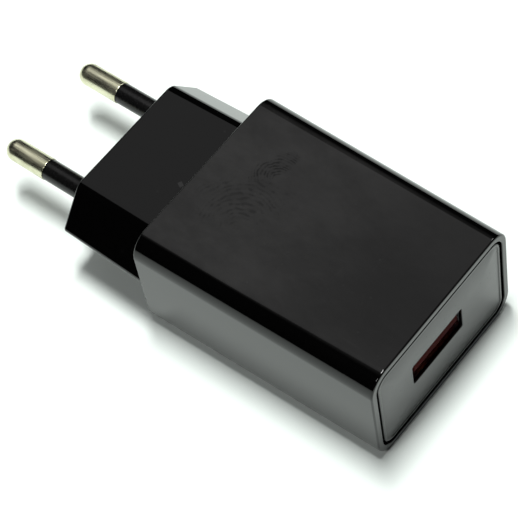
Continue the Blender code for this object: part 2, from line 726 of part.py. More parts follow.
def main():
    clear_scene()
    housing()
    port_panel()
    mains_pins()
    mains_leads()
    circuit_board()
    transformer()
    through_hole_parts()
    board_underside()
    usb_receptacle()


main()
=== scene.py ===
"""Looks of the USB wall charger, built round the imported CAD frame.

Everything is in metres in the frame's own axes: the charger lies on z = 0, +X runs from the mains pins
to the USB port, and +Y is its far long side. The case, the end plate, the pins and their sleeves are
finer-meshed pieces that stand for their CAD nodes. Every other node keeps its CAD mesh and gets a
procedural material.
"""
import math

import bmesh
import bpy
from mathutils import Matrix, Vector


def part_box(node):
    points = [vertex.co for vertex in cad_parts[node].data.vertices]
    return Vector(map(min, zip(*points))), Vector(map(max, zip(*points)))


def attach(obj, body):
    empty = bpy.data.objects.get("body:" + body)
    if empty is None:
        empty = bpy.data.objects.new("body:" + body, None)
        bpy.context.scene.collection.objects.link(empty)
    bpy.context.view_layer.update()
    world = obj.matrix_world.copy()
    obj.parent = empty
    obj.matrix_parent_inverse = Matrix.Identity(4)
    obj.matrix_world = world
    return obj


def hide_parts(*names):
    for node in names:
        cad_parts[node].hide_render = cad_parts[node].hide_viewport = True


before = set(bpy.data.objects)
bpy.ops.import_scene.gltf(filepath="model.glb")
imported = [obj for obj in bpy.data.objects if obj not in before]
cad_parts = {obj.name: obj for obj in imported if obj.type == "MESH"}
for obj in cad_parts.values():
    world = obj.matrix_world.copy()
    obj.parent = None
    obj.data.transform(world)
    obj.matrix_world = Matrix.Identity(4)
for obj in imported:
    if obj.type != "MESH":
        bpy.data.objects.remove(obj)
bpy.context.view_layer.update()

MM = 0.001
BODY = "charger"

# Sizes shared with the CAD.
BACK_WIDTH = 36.5 * MM
FRONT_WIDTH = 35.0 * MM
CORNER_RADIUS = 4.0 * MM
EDGE_RADIUS = 0.32 * MM
WALL = 1.8 * MM
RIM_WIDTH = 1.25 * MM
RIM_DEPTH = 2.8 * MM
RIM_LIP = 0.16 * MM
GAP = 0.3 * MM
NECK_LENGTH = 17.3 * MM
NECK_FACE = (35.0 * MM, 24.0 * MM, 13.7 * MM)
NECK_BASE = (36.2 * MM, 24.4 * MM, 14.4 * MM)
NECK_TOP_RADIUS = 2.6 * MM
NECK_SIDE_RADIUS = 0.7 * MM
NECK_END_WALL = 2.0 * MM
PIN_LENGTH = 19.0 * MM
PIN_RADIUS = 2.0 * MM
PIN_CORE_RADIUS = 1.35 * MM
PIN_METAL_LENGTH = 9.0 * MM
PIN_TAIL = 8.0 * MM
SLEEVE_RADIUS = 1.9 * MM
COLLAR_RADIUS = 2.35 * MM
COLLAR_LENGTH = 1.0 * MM
SEAT_RADIUS = 2.5 * MM
SEAT_DEPTH = 0.4 * MM
SEAT_EDGE = 0.12 * MM
PORT_WIDTH = 12.8 * MM
PORT_HEIGHT = 4.9 * MM
PORT_LIP = 0.4 * MM
PORT_CORNER = 0.35 * MM
PORT_EDGE = 0.18 * MM
POCKET_WIDTH = 13.7 * MM
POCKET_HEIGHT = 6.3 * MM
POCKET_CORNER = 0.6 * MM
PANEL_GAP = 0.5 * MM
PANEL_THICKNESS = 2.2 * MM
BEAD_WIDTH = 0.5 * MM
BEAD_HEIGHT = 0.14 * MM
BEAD_RADIUS = 0.2 * MM
BEAD_SLOPE = 0.1 * MM
PILLOW_DROP = 0.24 * MM
PILLOW_WIDTH = 4.4 * MM
SKIRT_LENGTH = 3.0 * MM
SKIRT_WALL = 1.2 * MM

# Places read from the frame.
case_low, case_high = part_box("housing")
shell_low, shell_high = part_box("usb_shell")
live_low, live_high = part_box("pin_live")
FRONT_X = case_high.x
NECK_X = case_low.x
BACK_X = NECK_X + NECK_LENGTH
PIN_TIP_X = live_low.x
PANEL_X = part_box("port_panel")[1].x
THICKNESS = case_high.z - case_low.z
MIDDLE_Z = (case_high.z + case_low.z) / 2
PORT_Y = (shell_low.y + shell_high.y) / 2
PORT_Z = (shell_low.z + shell_high.z) / 2
PIN_Y = abs(live_low.y + live_high.y) / 2

# Fineness of the meshes, and how far a cutter passes the face that it opens.
ARC = 14
NECK_ARC = 9
PORT_ARC = 7
EDGE_STEPS = 6
LIP_STEPS = 5
BEAD_STEPS = 8
SEAT_STEPS = 4
DOME_STEPS = 16
PILLOW_STEPS = 18
TURN_STEPS = 72
OVERSHOOT = 1.0 * MM


# ---------------------------------------------------------------- mesh helpers

def blend(start, end, share):
    """The value a share of the way from start to end."""
    return start + (end - start) * share


def rounded_polygon(corners, radii, arc):
    """Points of a convex outline whose corners are arcs. Corners run anticlockwise."""
    points = []
    count = len(corners)
    for index, corner in enumerate(corners):
        here = Vector(corner)
        before = (Vector(corners[index - 1]) - here).normalized()
        after = (Vector(corners[(index + 1) % count]) - here).normalized()
        half = before.angle(after) / 2
        radius = radii[index]
        centre = here + (before + after).normalized() * (radius / math.sin(half))
        first = here + before * (radius / math.tan(half)) - centre
        last = here + after * (radius / math.tan(half)) - centre
        start = math.atan2(first.y, first.x)
        sweep = (math.atan2(last.y, last.x) - start) % math.tau
        for step in range(arc):
            angle = start + sweep * step / (arc - 1)
            points.append((centre.x + radius * math.cos(angle), centre.y + radius * math.sin(angle)))
    return points


def rounded_rectangle(width, height, radius, centre, arc=ARC):
    """Points of a rectangle with round corners, about a centre (y, z)."""
    y, z = centre
    corners = [
        (y - width / 2, z - height / 2),
        (y + width / 2, z - height / 2),
        (y + width / 2, z + height / 2),
        (y - width / 2, z + height / 2),
    ]
    return rounded_polygon(corners, [radius] * 4, arc)


def body_outline(x, inset):
    """Section of the body at x, drawn in by inset."""
    share = (x - BACK_X) / (FRONT_X - BACK_X)
    width = blend(BACK_WIDTH, FRONT_WIDTH, share) - 2 * inset
    radius = max(CORNER_RADIUS - inset, 0.6 * MM)
    return rounded_rectangle(width, THICKNESS - 2 * inset, radius, (0.0, MIDDLE_Z))


def front_outline(x, inset):
    """Section of the body at its front end, drawn in by inset, the same at every x."""
    return body_outline(FRONT_X, inset)


def neck_outline(x, inset):
    """Six-sided section of the plug neck at x, drawn in by inset."""
    share = (x - NECK_X) / NECK_LENGTH
    side, top, height = (blend(a, b, share) / 2 for a, b in zip(NECK_FACE, NECK_BASE))
    run = math.hypot(side - top, height)
    shift = inset * run / height
    low_side = side - shift
    low_top = top + (side - top) * inset / height - shift
    low_height = height - inset
    corners = [
        (-low_top, MIDDLE_Z - low_height),
        (low_top, MIDDLE_Z - low_height),
        (low_side, MIDDLE_Z),
        (low_top, MIDDLE_Z + low_height),
        (-low_top, MIDDLE_Z + low_height),
        (-low_side, MIDDLE_Z),
    ]
    flat = max(NECK_TOP_RADIUS - inset / 2, 0.4 * MM)
    point = max(NECK_SIDE_RADIUS - inset / 2, 0.3 * MM)
    return rounded_polygon(corners, [flat, flat, point, flat, flat, point], NECK_ARC)


def loft_mesh(outline, stations):
    """One closed bmesh through outline(x, inset) at each (x, inset) station, with flat ends."""
    bm = bmesh.new()
    loops = []
    for x, inset in stations:
        loops.append([bm.verts.new((x, y, z)) for y, z in outline(x, inset)])
    count = len(loops[0])
    for low, high in zip(loops, loops[1:]):
        for index in range(count):
            after = (index + 1) % count
            bm.faces.new((low[index], low[after], high[after], high[index]))
    bm.faces.new(loops[0])
    bm.faces.new(loops[-1])
    bmesh.ops.recalc_face_normals(bm, faces=bm.faces[:])
    return bm


def quarter(x, inset, radius, direction, outward, steps=EDGE_STEPS):
    """Stations of a quarter-round that leaves the wall at x and ends on the face, for an edge at that x."""
    made = []
    for step in range(steps + 1):
        angle = math.pi / 2 * step / steps
        along = x - direction * radius * (1 - math.sin(angle))
        made.append((along, inset + outward * radius * (1 - math.cos(angle))))
    return made


def as_object(name, bm):
    """A new object in the scene from a bmesh, which is freed."""
    mesh = bpy.data.meshes.new(name)
    bm.to_mesh(mesh)
    bm.free()
    obj = bpy.data.objects.new(name, mesh)
    bpy.context.scene.collection.objects.link(obj)
    return obj


def boolean(target, other, operation):
    """Join other into target, or cut it out, and drop other."""
    modifier = target.modifiers.new("cut", "BOOLEAN")
    modifier.operation = operation
    modifier.solver = "EXACT"
    modifier.object = other
    bake_modifiers(target)
    bpy.data.objects.remove(other, do_unlink=True)


def bake_modifiers(obj):
    """Replace an object's mesh by what its modifiers make of it."""
    depsgraph = bpy.context.evaluated_depsgraph_get()
    mesh = bpy.data.meshes.new_from_object(obj.evaluated_get(depsgraph))
    obj.modifiers.clear()
    old = obj.data
    obj.data = mesh
    bpy.data.meshes.remove(old)


def smooth(obj, degrees=32.0):
    """Smooth shading with sharp edges over an angle, and flat faces kept flat by weighted normals."""
    obj.data.shade_smooth()
    obj.data.set_sharp_from_angle(angle=math.radians(degrees))
    modifier = obj.modifiers.new("face_weighted", "WEIGHTED_NORMAL")
    modifier.mode = "FACE_AREA"
    modifier.weight = 90
    modifier.keep_sharp = True


def turned_mesh(profile, place):
    """A bmesh turned round an axis along +X through place. The profile is (distance, radius) pairs."""
    bm = bmesh.new()
    rings = []
    for along, radius in profile:
        ring = []
        for step in range(TURN_STEPS):
            angle = math.tau * step / TURN_STEPS
            offset = Vector((along, radius * math.cos(angle), radius * math.sin(angle)))
            ring.append(bm.verts.new(Vector(place) + offset))
        rings.append(ring)
    closed = profile[0] == profile[-1]
    for low, high in zip(rings, rings[1:]):
        for step in range(TURN_STEPS):
            after = (step + 1) % TURN_STEPS
            bm.faces.new((low[step], low[after], high[after], high[step]))
    if not closed:
        bm.faces.new(rings[0])
        bm.faces.new(rings[-1])
    bmesh.ops.remove_doubles(bm, verts=bm.verts, dist=1e-7)
    bmesh.ops.recalc_face_normals(bm, faces=bm.faces[:])
    return bm


# ---------------------------------------------------------------- material helpers

class Nodes:
    """Short spellings for building one material's node tree."""

    def __init__(self, name):
        self.material = bpy.data.materials.new(name)
        self.material.use_nodes = True
        self.tree = self.material.node_tree
        self.shader = self.tree.nodes["Principled BSDF"]

    def add(self, kind, **settings):
        node = self.tree.nodes.new(kind)
        for key, value in settings.items():
            setattr(node, key, value)
        return node

    def link(self, out, into):
        self.tree.links.new(out, into)

    def put(self, socket, value):
        """Link value if it is an output, or store it if it is a number or colour."""
        if isinstance(value, bpy.types.NodeSocket):
            self.link(value, socket)
        else:
            socket.default_value = value

    def set(self, **values):
        for key, value in values.items():
            self.put(self.shader.inputs[key.replace("_", " ")], value)

    def place(self, scale=(1.0, 1.0, 1.0), location=(0.0, 0.0, 0.0), rotation=(0.0, 0.0, 0.0)):
        """Object coordinates in metres, moved, turned and scaled."""
        coordinates = self.add("ShaderNodeTexCoord")
        mapping = self.add("ShaderNodeMapping")
        mapping.inputs["Location"].default_value = location
        mapping.inputs["Rotation"].default_value = rotation
        mapping.inputs["Scale"].default_value = scale
        self.link(coordinates.outputs["Object"], mapping.inputs["Vector"])
        return mapping.outputs["Vector"]

    def noise(self, scale, detail, roughness, vector=None):
        """Soft noise, 0 to 1, at a scale in waves per metre."""
        node = self.add("ShaderNodeTexNoise")
        node.inputs["Scale"].default_value = scale
        node.inputs["Detail"].default_value = detail
        node.inputs["Roughness"].default_value = roughness
        self.link(vector if vector is not None else self.place(), node.inputs["Vector"])
        return node.outputs["Fac"]

    def spots(self, scale):
        """Distance from scattered points, low close to each."""
        node = self.add("ShaderNodeTexVoronoi", feature="F1")
        node.inputs["Scale"].default_value = scale
        self.link(self.place(), node.inputs["Vector"])
        return node.outputs["Distance"]

    def coordinate(self, axis):
        """Place along one axis, in metres."""
        split = self.add("ShaderNodeSeparateXYZ")
        self.link(self.place(), split.inputs["Vector"])
        return split.outputs[axis]

    def box_mask(self, centre, half, turn):
        """A soft-edged rectangle, seen from above, as a 0 to 1 mask on the upper faces."""
        local = self.place(location=(*(-at for at in centre), 0.0))
        turned = self.add("ShaderNodeVectorRotate", rotation_type="Z_AXIS")
        turned.inputs["Angle"].default_value = turn
        self.link(local, turned.inputs["Vector"])
        split = self.add("ShaderNodeSeparateXYZ")
        self.link(turned.outputs["Vector"], split.inputs["Vector"])
        inside = self.ramp(split.outputs["Z"], 16.0 * MM, 17.0 * MM)
        for axis, reach in zip("XY", half):
            far = self.math("ABSOLUTE", split.outputs[axis])
            inside = self.math("MULTIPLY", inside, self.ramp(far, reach, reach * 1.4, 1.0, 0.0))
        return inside

    def ramp(self, value, low, high, to_low=0.0, to_high=1.0):
        """A smooth step from to_low at low to to_high at high."""
        node = self.add("ShaderNodeMapRange", interpolation_type="SMOOTHSTEP")
        self.put(node.inputs["Value"], value)
        node.inputs["From Min"].default_value = low
        node.inputs["From Max"].default_value = high
        node.inputs["To Min"].default_value = to_low
        node.inputs["To Max"].default_value = to_high
        return node.outputs["Result"]

    def math(self, operation, first, second=0.0, clamp=False):
        node = self.add("ShaderNodeMath", operation=operation, use_clamp=clamp)
        self.put(node.inputs[0], first)
        self.put(node.inputs[1], second)
        return node.outputs["Value"]

    def mix(self, share, first, second):
        node = self.add("ShaderNodeMix", data_type="RGBA")
        self.put(node.inputs["Factor"], share)
        self.put(node.inputs["A"], first)
        self.put(node.inputs["B"], second)
        return node.outputs["Result"]

    def bump(self, height, distance, strength=1.0, normal=None):
        """A normal with relief of a depth in metres, on top of another normal if one is given."""
        node = self.add("ShaderNodeBump")
        node.inputs["Strength"].default_value = strength
        node.inputs["Distance"].default_value = distance
        self.link(height, node.inputs["Height"])
        if normal is not None:
            self.link(normal, node.inputs["Normal"])
        return node.outputs["Normal"]


def grey(value):
    """A neutral colour."""
    return (value, value, value, 1.0)


def finger_mark(nodes, centre, size, turn, ridge):
    """A mask, 0 to 1, of curved ridge lines inside a soft oval on the top face."""
    offset = (-centre[0], -centre[1], 0.0)
    coordinates = nodes.add("ShaderNodeTexCoord")
    moved = nodes.add("ShaderNodeVectorMath", operation="ADD")
    nodes.link(coordinates.outputs["Object"], moved.inputs[0])
    moved.inputs[1].default_value = offset
    mapping = nodes.add("ShaderNodeMapping")
    mapping.inputs["Rotation"].default_value = (0.0, 0.0, turn)
    nodes.link(moved.outputs["Vector"], mapping.inputs["Vector"])
    local = mapping.outputs["Vector"]
    split = nodes.add("ShaderNodeSeparateXYZ")
    nodes.link(local, split.inputs["Vector"])
    across = nodes.math("DIVIDE", split.outputs["X"], size[0])
    along = nodes.math("DIVIDE", split.outputs["Y"], size[1])
    far = nodes.math("ADD", nodes.math("POWER", across, 2.0), nodes.math("POWER", along, 2.0))
    patch = nodes.noise(420.0, 3.0, 0.6, local)
    ragged = nodes.math("ADD", far, nodes.ramp(patch, 0.3, 0.7, -0.45, 0.45))
    oval = nodes.ramp(ragged, 0.35, 1.0, 1.0, 0.0)
    ridges = nodes.add("ShaderNodeTexWave", wave_type="RINGS", rings_direction="Z", wave_profile="SIN")
    ridges.inputs["Scale"].default_value = ridge
    ridges.inputs["Distortion"].default_value = 7.0
    ridges.inputs["Detail"].default_value = 2.0
    ridges.inputs["Detail Scale"].default_value = 0.7
    shifted = nodes.add("ShaderNodeMapping")
    shifted.inputs["Location"].default_value = (0.0, size[1] * 1.1, 0.0)
    shifted.inputs["Scale"].default_value = (1.0, 0.75, 0.0)
    nodes.link(local, shifted.inputs["Vector"])
    nodes.link(shifted.outputs["Vector"], ridges.inputs["Vector"])
    lines = nodes.ramp(ridges.outputs["Fac"], 0.35, 0.75, 0.25, 1.0)
    broken = nodes.ramp(nodes.noise(900.0, 2.0, 0.5, local), 0.4, 0.6, 0.25, 1.0)
    lines = nodes.math("MULTIPLY", lines, broken)
    return nodes.math("MULTIPLY", lines, oval)


def gloss_black():
    """Polished black ABS, with handling marks, hairline scratches, a little dust, and a pale handling film
    on the top face whose fade towards the front end is painted shade.
    """
    n = Nodes("gloss_black_abs")
    smudge = n.ramp(n.noise(55.0, 4.0, 0.6), 0.45, 0.75)
    prints = finger_mark(n, (4.6 * MM, 5.8 * MM), (4.6 * MM, 2.0 * MM), -1.13, 700.0)
    palm = finger_mark(n, (4.0 * MM, -2.0 * MM), (7.6 * MM, 5.0 * MM), -0.65, 460.0)
    prints = n.math("MAXIMUM", prints, n.math("MULTIPLY", palm, 0.6))
    hair = n.place((900.0, 60.0, 900.0), rotation=(0.0, 0.0, 0.5))
    scratch = n.ramp(n.noise(1.0, 2.0, 0.5, hair), 0.69, 0.74)
    wiped = n.place((70.0, 1000.0, 1000.0), rotation=(0.0, 0.0, 0.25))
    scratch = n.math("MAXIMUM", scratch, n.ramp(n.noise(1.0, 2.0, 0.5, wiped), 0.71, 0.75))
    dust = n.ramp(n.spots(330.0), 0.045, 0.085, 1.0, 0.0)
    roughness = n.math("ADD", 0.06, n.math("MULTIPLY", smudge, 0.02))
    roughness = n.math("ADD", roughness, n.math("MULTIPLY", prints, 0.05))
    roughness = n.math("ADD", roughness, n.math("MULTIPLY", scratch, 0.05), clamp=True)
    handled = n.ramp(n.coordinate("Z"), 22.3 * MM, 22.55 * MM)
    drift = n.place((1.0, 1.7, 1.0), rotation=(0.0, 0.0, 0.6))
    film = n.ramp(n.noise(38.0, 6.0, 0.72, drift), 0.3, 0.7, 0.4, 1.0)
    film = n.math("MULTIPLY", film, n.math("SUBTRACT", 1.0, prints))
    film = n.math("MULTIPLY", film, handled)
    # Painted shade: the film fades to 0.3 towards the front end, so the top face reads lighter towards the
    # back, as if it were lit more there.
    film = n.math("MULTIPLY", film, n.ramp(n.coordinate("X"), 0.0, 42.0 * MM, 1.0, 0.3))
    colour = n.mix(film, grey(0.0006), (0.0165, 0.0163, 0.016, 1.0))
    colour = n.mix(n.math("MULTIPLY", dust, 0.2), colour, (0.02, 0.021, 0.02, 1.0))
    chip = n.box_mask((-8.0 * MM, -2.8 * MM), (0.42 * MM, 0.3 * MM), 0.5)
    colour = n.mix(n.math("MULTIPLY", chip, 0.7), colour, grey(0.018))
    waves = n.bump(n.noise(240.0, 2.0, 0.4), 0.0000015)
    fine = n.bump(n.math("MAXIMUM", scratch, dust), 0.000002, 0.35, waves)
    fine = n.bump(prints, 0.000012, 0.5, fine)
    n.set(Base_Color=colour, Roughness=roughness, Normal=fine)
    n.shader.inputs["IOR"].default_value = 1.45
    return n.material


def satin_black():
    """Fine-textured satin black plastic of the end plate."""
    n = Nodes("satin_black_abs")
    grain = n.noise(5200.0, 3.0, 0.6)
    cloud = n.noise(160.0, 3.0, 0.5)
    specks = n.ramp(n.spots(900.0), 0.06, 0.1, 1.0, 0.0)
    roughness = n.math("ADD", 0.27, n.math("MULTIPLY", n.ramp(cloud, 0.3, 0.7), 0.05))
    roughness = n.math("ADD", roughness, n.math("MULTIPLY", specks, 0.2))
    colour = n.mix(n.math("MULTIPLY", specks, 0.4), grey(0.0012), grey(0.0005))
    rough = n.bump(grain, 0.000004, 0.5)
    n.set(Base_Color=colour, Roughness=roughness, Normal=rough)
    n.shader.inputs["IOR"].default_value = 1.62
    return n.material


def nickel():
    """Nickel-plated brass, faintly warm, with turning marks round it and wear along it."""
    n = Nodes("nickel_plate")
    turning = n.noise(1.0, 3.0, 0.6, n.place((9000.0, 120.0, 120.0)))
    wear = n.noise(1.0, 4.0, 0.6, n.place((160.0, 2600.0, 2600.0)))
    cloud = n.ramp(n.noise(420.0, 3.0, 0.6), 0.35, 0.7)
    colour = n.mix(cloud, (0.74, 0.73, 0.54, 1.0), (0.58, 0.57, 0.4, 1.0))
    roughness = n.math("ADD", 0.23, n.math("MULTIPLY", n.ramp(wear, 0.4, 0.75), 0.12))
    roughness = n.math("ADD", roughness, n.math("MULTIPLY", cloud, 0.05))
    relief = n.bump(turning, 0.0000012, 0.5, n.bump(wear, 0.0000012, 0.5))
    n.set(Base_Color=colour, Roughness=roughness, Normal=relief)
    n.shader.inputs["Metallic"].default_value = 1.0
    return n.material


def moulded(name, light, dark, roughness, grain=2600.0, cloud=180.0, relief=0.000006, level=0.5):
    """A moulded or coated plastic: two close colours in clouds, and a fine grain."""
    n = Nodes(name)
    patches = n.ramp(n.noise(cloud, 4.0, 0.55), 0.3, 0.7)
    fine = n.noise(grain, 3.0, 0.6)
    n.set(
        Base_Color=n.mix(patches, (*light, 1.0), (*dark, 1.0)),
        Roughness=n.math("ADD", roughness, n.math("MULTIPLY", n.ramp(fine, 0.3, 0.7), 0.08)),
        Normal=n.bump(fine, relief, 0.6),
    )
    n.shader.inputs["Specular IOR Level"].default_value = level
    return n.material


def plated(name, light, dark, roughness):
    """A rolled or plated metal with a brushed direction and stained patches."""
    n = Nodes(name)
    lines = n.noise(1.0, 3.0, 0.6, n.place((200.0, 4000.0, 4000.0)))
    stain = n.ramp(n.noise(300.0, 4.0, 0.6), 0.4, 0.75)
    n.set(
        Base_Color=n.mix(stain, (*light, 1.0), (*dark, 1.0)),
        Roughness=n.math("ADD", roughness, n.math("MULTIPLY", lines, 0.16)),
        Normal=n.bump(lines, 0.000003, 0.5),
    )
    n.shader.inputs["Metallic"].default_value = 1.0
    return n.material


def board_material():
    """Green solder mask over copper tracks, on glass-fibre laminate."""
    n = Nodes("board_laminate")
    tracks = n.add("ShaderNodeTexBrick")
    tracks.inputs["Scale"].default_value = 320.0
    tracks.inputs["Mortar Size"].default_value = 0.09
    tracks.inputs["Color1"].default_value = (0.012, 0.16, 0.05, 1.0)
    tracks.inputs["Color2"].default_value = (0.016, 0.2, 0.065, 1.0)
    tracks.inputs["Mortar"].default_value = (0.006, 0.09, 0.03, 1.0)
    n.link(n.place(), tracks.inputs["Vector"])
    weave = n.noise(2200.0, 2.0, 0.5)
    n.set(
        Base_Color=tracks.outputs["Color"],
        Roughness=n.math("ADD", 0.33, n.math("MULTIPLY", weave, 0.15)),
        Normal=n.bump(tracks.outputs["Fac"], 0.00002, 0.4, n.bump(weave, 0.000004, 0.5)),
    )
    return n.material


def winding_material():
    """Yellow polyester tape in overlapping turns round the coils."""
    n = Nodes("winding_tape")
    turns = n.add("ShaderNodeTexWave", wave_type="BANDS", bands_direction="Z", wave_profile="SAW")
    turns.inputs["Scale"].default_value = 260.0
    turns.inputs["Distortion"].default_value = 0.4
    n.link(n.place(), turns.inputs["Vector"])
    cloud = n.ramp(n.noise(240.0, 3.0, 0.5), 0.3, 0.7)
    n.set(
        Base_Color=n.mix(cloud, (0.8, 0.55, 0.05, 1.0), (0.62, 0.4, 0.03, 1.0)),
        Roughness=n.math("ADD", 0.3, n.math("MULTIPLY", cloud, 0.12)),
        Normal=n.bump(turns.outputs["Fac"], 0.00003, 0.6),
    )
    return n.material


# ---------------------------------------------------------------- camera, light and floor

TARGET = Vector((7.86, -3.77, 11.3)) * MM
DISTANCE = 0.3664
AZIMUTH = math.radians(48.29)
ELEVATION = math.radians(56.41)
ROLL = math.radians(-12.0)
LENS = 158.8
LIT_POINT = Vector((0.01, 0.0, 0.01))
FLOOR_RADIUS = 2.5


def make_camera():
    """The camera, from its azimuth and elevation round the target, and a small roll about its own axis."""
    data = bpy.data.cameras.new("camera")
    data.sensor_width = 36.0
    data.lens = LENS
    data.clip_start = 0.01
    data.clip_end = 20.0
    obj = bpy.data.objects.new("camera", data)
    bpy.context.scene.collection.objects.link(obj)
    back = Vector((
        math.sin(AZIMUTH) * math.cos(ELEVATION),
        -math.cos(AZIMUTH) * math.cos(ELEVATION),
        math.sin(ELEVATION),
    ))
    turn = (-back).to_track_quat("-Z", "Y").to_matrix().to_4x4()
    obj.matrix_world = Matrix.Translation(TARGET + back * DISTANCE) @ turn @ Matrix.Rotation(ROLL, 4, "Z")
    bpy.context.scene.camera = obj


def make_floor():
    """A plain pale floor under the charger."""
    bm = bmesh.new()
    bmesh.ops.create_circle(bm, cap_ends=True, segments=96, radius=FLOOR_RADIUS)
    floor = as_object("floor", bm)
    n = Nodes("pale_floor")
    n.set(Base_Color=n.mix(n.noise(2.0, 2.0, 0.5), (0.835, 0.9, 0.86, 1.0), (0.82, 0.885, 0.845, 1.0)))
    n.shader.inputs["Roughness"].default_value = 0.9
    n.shader.inputs["Specular IOR Level"].default_value = 0.0
    floor.data.materials.append(n.material)


def softbox(name, direction, distance, size, radiance):
    """A rectangular area light that faces the charger. Power follows from its area and radiance."""
    data = bpy.data.lights.new(name, "AREA")
    data.shape = "RECTANGLE"
    data.size, data.size_y = size
    data.energy = radiance * math.pi * size[0] * size[1]
    obj = bpy.data.objects.new(name, data)
    bpy.context.scene.collection.objects.link(obj)
    away = Vector(direction).normalized()
    obj.location = LIT_POINT + away * distance
    obj.rotation_mode = "QUATERNION"
    obj.rotation_quaternion = away.to_track_quat("Z", "Y")
    return obj


def make_lights():
    """A broad dim light that the top face mirrors, and three small ones, clear of it, for the floor."""
    softbox("overhead", (-0.37, 0.3, 0.88), 0.6, (0.56, 0.36), 0.46)
    softbox("key", (-0.06, 0.06, 1.0), 0.55, (0.08, 0.22), 64.0)
    softbox("far_key", (-0.08, 0.74, 0.67), 0.6, (0.14, 0.14), 9.0)
    softbox("near_key", (-0.06, -0.6, 0.79), 0.6, (0.14, 0.14), 11.0)
    world = bpy.data.worlds.new("studio")
    world.use_nodes = True
    world.node_tree.nodes["Background"].inputs["Color"].default_value = grey(0.004)
    bpy.context.scene.world = world
    bpy.context.scene.view_settings.view_transform = "Standard"


# ---------------------------------------------------------------- pieces

def take(piece, material, *nodes, slot=None, body=BODY):
    """Give a piece its material, and let it stand for its CAD nodes on their body."""
    piece.data.materials.clear()
    piece.data.materials.append(material)
    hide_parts(*nodes)
    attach(piece, body)
    return piece


def make_case(material):
    """The glossy case: body and neck in one moulding, hollow, with its rim and pin seats."""
    skin = quarter(BACK_X, 0.0, EDGE_RADIUS, -1, 1)[::-1]
    skin += quarter(FRONT_X, 0.0, EDGE_RADIUS, 1, 1)
    case = as_object("case_shell", loft_mesh(body_outline, skin))
    nose = quarter(NECK_X, 0.0, EDGE_RADIUS, -1, 1)[::-1]
    nose += [(BACK_X + OVERSHOOT, 0.0)]
    boolean(case, as_object("nose", loft_mesh(neck_outline, nose)), "UNION")

    room = [(BACK_X + WALL, WALL), (FRONT_X + OVERSHOOT, WALL)]
    boolean(case, as_object("room", loft_mesh(body_outline, room)), "DIFFERENCE")
    duct = [(NECK_X + NECK_END_WALL, WALL), (BACK_X + WALL + OVERSHOOT, WALL)]
    boolean(case, as_object("duct", loft_mesh(neck_outline, duct)), "DIFFERENCE")

    seat = [(FRONT_X - RIM_DEPTH, RIM_WIDTH)]
    seat += quarter(FRONT_X, RIM_WIDTH, RIM_LIP, 1, -1, LIP_STEPS)
    seat += [(FRONT_X + OVERSHOOT, RIM_WIDTH - RIM_LIP)]
    boolean(case, as_object("recess", loft_mesh(front_outline, seat)), "DIFFERENCE")
    for y in (-PIN_Y, PIN_Y):
        hole = [(-OVERSHOOT, SEAT_RADIUS + SEAT_EDGE), (0.0, SEAT_RADIUS + SEAT_EDGE)]
        for step in range(1, SEAT_STEPS + 1):
            share = math.sin(math.pi / 2 * step / SEAT_STEPS)
            hole.append((SEAT_EDGE * share, SEAT_RADIUS + SEAT_EDGE * (1 - share)))
        hole += [
            (SEAT_DEPTH, SEAT_RADIUS),
            (SEAT_DEPTH, PIN_CORE_RADIUS + GAP),
            (NECK_END_WALL + OVERSHOOT, PIN_CORE_RADIUS + GAP),
        ]
        boolean(case, as_object("hole", turned_mesh(hole, (NECK_X, y, MIDDLE_Z))), "DIFFERENCE")
    smooth(case)
    return take(case, material, "housing", slot="case")


def make_panel(material):
    """The satin end plate: a bead round a softly pillowed face, with a softened port opening."""
    start = RIM_WIDTH + PANEL_GAP
    back = PANEL_X - PANEL_THICKNESS
    low = PANEL_X - PILLOW_DROP
    top = low + BEAD_HEIGHT
    stations = [(back, start)] + quarter(top, start, BEAD_RADIUS, 1, 1)
    for step in range(BEAD_STEPS + 1):
        share = step / BEAD_STEPS
        ease = share * share * (3 - 2 * share)
        across = blend(BEAD_WIDTH - BEAD_SLOPE, BEAD_WIDTH + BEAD_SLOPE, share)
        stations.append((blend(top, low, ease), start + across))
    for step in range(1, PILLOW_STEPS + 1):
        share = step / PILLOW_STEPS
        depth = PILLOW_DROP * (1 - share) ** 2
        stations.append((PANEL_X - depth, start + BEAD_WIDTH + BEAD_SLOPE + PILLOW_WIDTH * share))

    panel = as_object("end_plate", loft_mesh(front_outline, stations))
    side = WALL + GAP
    skirt = [(back - SKIRT_LENGTH, side), (back + OVERSHOOT / 2, side)]
    boolean(panel, as_object("skirt", loft_mesh(front_outline, skirt)), "UNION")
    room = [(back - SKIRT_LENGTH - OVERSHOOT, side + SKIRT_WALL), (back, side + SKIRT_WALL)]
    boolean(panel, as_object("skirt_room", loft_mesh(front_outline, room)), "DIFFERENCE")

    def mouth(x, inset):
        """The port opening, widened by inset."""
        return rounded_rectangle(
            PORT_WIDTH + 2 * inset, PORT_HEIGHT + 2 * inset, PORT_CORNER + inset, (PORT_Y, PORT_Z), PORT_ARC)

    cut = [(back - OVERSHOOT, 0.0)] + quarter(PANEL_X, 0.0, PORT_EDGE, 1, 1, LIP_STEPS)
    cut += [(PANEL_X + OVERSHOOT, PORT_EDGE)]
    boolean(panel, as_object("mouth", loft_mesh(mouth, cut)), "DIFFERENCE")

    def pocket(x, inset):
        """The wider room behind the opening, where the receptacle's shell sits."""
        return rounded_rectangle(POCKET_WIDTH, POCKET_HEIGHT, POCKET_CORNER, (PORT_Y, PORT_Z), PORT_ARC)

    behind = [(back - OVERSHOOT, 0.0), (PANEL_X - PORT_LIP, 0.0)]
    boolean(panel, as_object("pocket", loft_mesh(pocket, behind)), "DIFFERENCE")
    smooth(panel)
    return take(panel, material, "port_panel", slot="end_plate")


